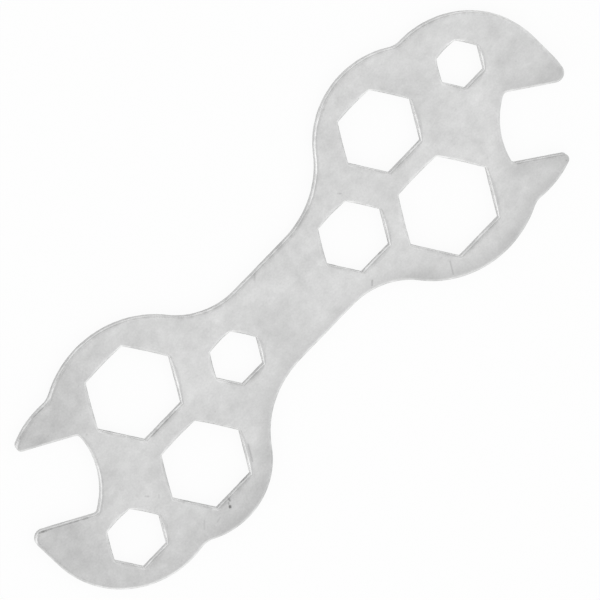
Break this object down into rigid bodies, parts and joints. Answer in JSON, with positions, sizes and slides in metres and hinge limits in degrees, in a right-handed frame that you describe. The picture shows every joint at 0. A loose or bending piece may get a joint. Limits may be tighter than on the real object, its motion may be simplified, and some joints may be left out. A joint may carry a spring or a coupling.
{
  "type": "multi-size bicycle spanner",
  "caption": "Flat bicycle spanner stamped from steel sheet: a short handle with a lobed head at either end, pierced by hexagon sockets of graded sizes, with an open jaw cut into each head.",
  "frame": {"origin": "middle of the plate's bounding box, on its back face", "axes": "+X along the handle towards the head with the narrow jaw, +Y towards that head's closed side, +Z out of the front face"},
  "size_m": [0.13, 0.0464, 0.002],
  "materials": {
    "zinc_steel": "satin bright zinc plating with soft mottling and fine handling marks"
  },
  "bodies": {
    "root": {"spanner_plate": "zinc_steel"}
  },
  "joints": []
}
